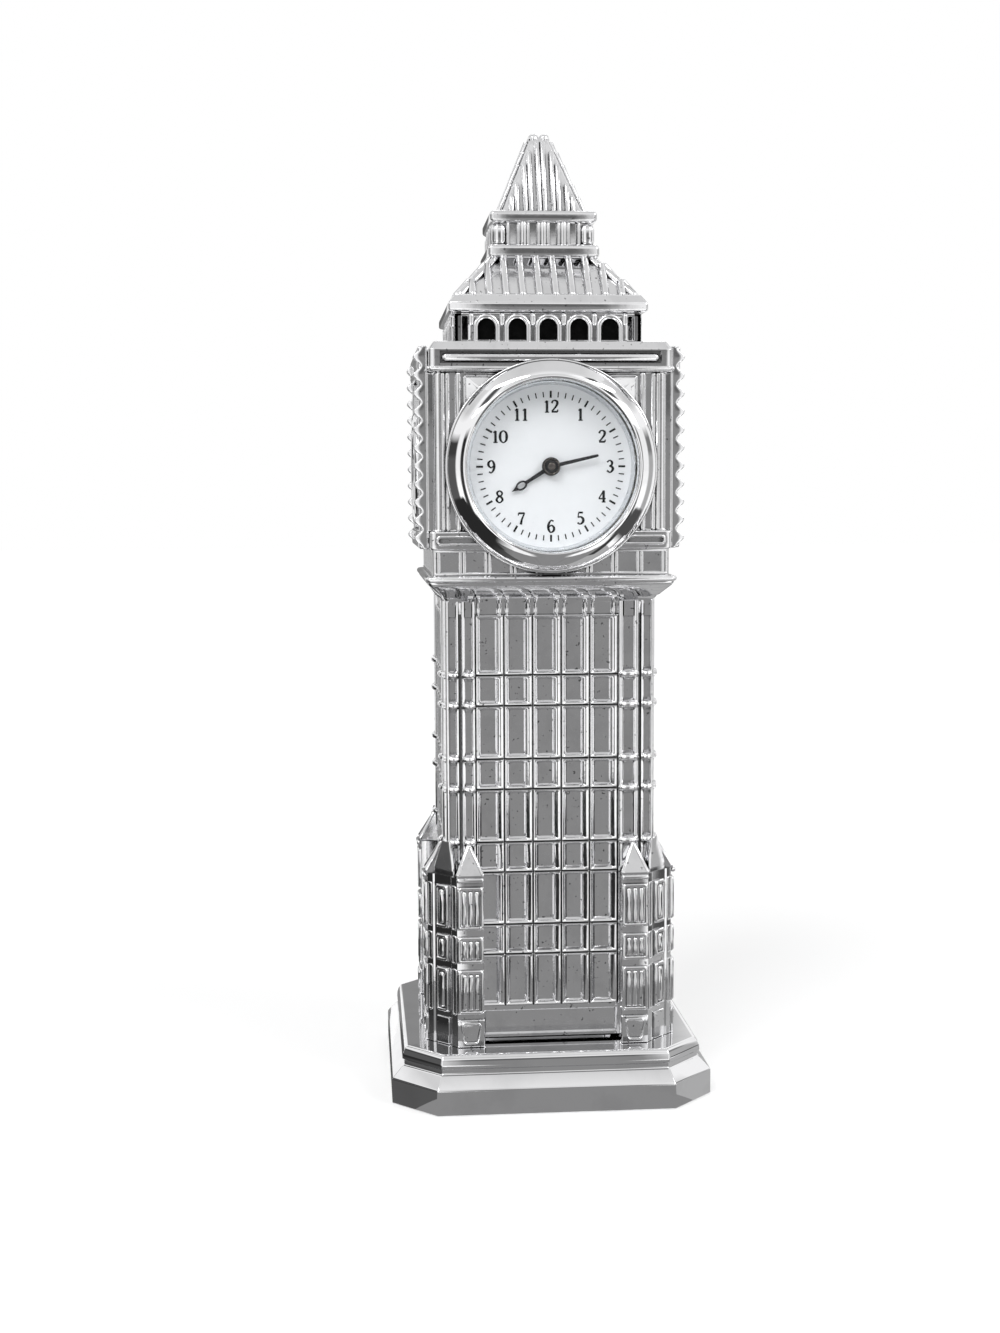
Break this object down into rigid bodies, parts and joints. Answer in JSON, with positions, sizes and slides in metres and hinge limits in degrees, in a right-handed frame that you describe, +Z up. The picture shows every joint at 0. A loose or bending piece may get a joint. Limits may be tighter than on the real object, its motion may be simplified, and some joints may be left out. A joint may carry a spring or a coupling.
{
  "type": "miniature clock tower",
  "caption": "Chrome-plated miniature clock tower on a stepped, corner-cut base, with a push-in quartz clock that pulls out of its stage and hands that turn together.",
  "frame": {"origin": "centre of the underside that stands on the table", "axes": "+Z up the tower, the clock faces -Y, +X to the right as seen from the front"},
  "size_m": [0.043, 0.043, 0.1297],
  "materials": {
    "chrome_plate": "bright chrome plating on cast zinc alloy",
    "felt": "black felt",
    "screw_steel": "plain steel",
    "crystal": "clear mineral glass",
    "bright_ring": "satin bright",
    "dial_white": "white paint with printed black numerals",
    "case_brass": "turned",
    "grip_rubber": "soft translucent band",
    "movement_brass": "fine machined",
    "holder_plastic": "moulded",
    "black_plastic": "moulded",
    "copper": "enamelled winding wire",
    "board": "printed circuit board",
    "cell_steel": "pressed steel",
    "hand_black": "black lacquer"
  },
  "bodies": {
    "tower": {"base_plinth": "chrome_plate", "base_pad": "felt", "base_screw_left": "screw_steel", "base_screw_right": "screw_steel", "tower_shaft": "chrome_plate", "buttress_front_left": "chrome_plate", "buttress_front_right": "chrome_plate", "buttress_rear_left": "chrome_plate", "buttress_rear_right": "chrome_plate", "clock_housing": "chrome_plate", "dial_panel_left": "chrome_plate", "dial_panel_right": "chrome_plate", "dial_panel_rear": "chrome_plate", "belfry_arcade": "chrome_plate", "lower_roof": "chrome_plate", "lantern": "chrome_plate", "spire": "chrome_plate"},
    "clock_insert": {"bezel": "chrome_plate", "crystal": "crystal", "dial_ring": "bright_ring", "dial": "dial_white", "insert_case": "case_brass", "grip_ring": "grip_rubber", "movement_plate": "movement_brass", "movement_holder": "holder_plastic", "train_case": "black_plastic", "coil": "copper", "circuit_board": "board", "battery": "cell_steel", "battery_clip": "screw_steel", "case_back": "cell_steel"},
    "minute_train": {"centre_arbor": "screw_steel", "minute_hand": "hand_black", "hand_nut": "hand_black"},
    "hour_train": {"hour_wheel": "movement_brass", "hour_hand": "hand_black"},
    "motion_wheel": {"minute_wheel": "movement_brass"},
    "setter": {"set_arbor": "screw_steel", "set_knob": "black_plastic"}
  },
  "joints": [
    {"name": "insert_pull", "type": "slide", "parent": "tower", "child": "clock_insert", "axis": [0, -1, 0], "range_m": [0, 0.01]},
    {"name": "minute_turn", "type": "hinge", "parent": "clock_insert", "child": "minute_train", "pos_m": [0, -0.0155, 0.0845], "axis": [0, 1, 0], "continuous": true},
    {"name": "hour_turn", "type": "hinge", "parent": "clock_insert", "child": "hour_train", "pos_m": [0, -0.0145, 0.0845], "axis": [0, 1, 0], "continuous": true},
    {"name": "motion_wheel_turn", "type": "hinge", "parent": "clock_insert", "child": "motion_wheel", "pos_m": [0, -0.0128, 0.0795], "axis": [0, 1, 0], "continuous": true},
    {"name": "set_knob_turn", "type": "hinge", "parent": "clock_insert", "child": "setter", "pos_m": [0.005, -0.0055, 0.0795], "axis": [0, 1, 0], "continuous": true}
  ],
  "couplings": [
    {"joint": "hour_turn", "follows": "minute_turn", "ratio": 0.083333},
    {"joint": "motion_wheel_turn", "follows": "minute_turn", "ratio": -0.33333},
    {"joint": "set_knob_turn", "follows": "minute_turn", "ratio": 1}
  ]
}
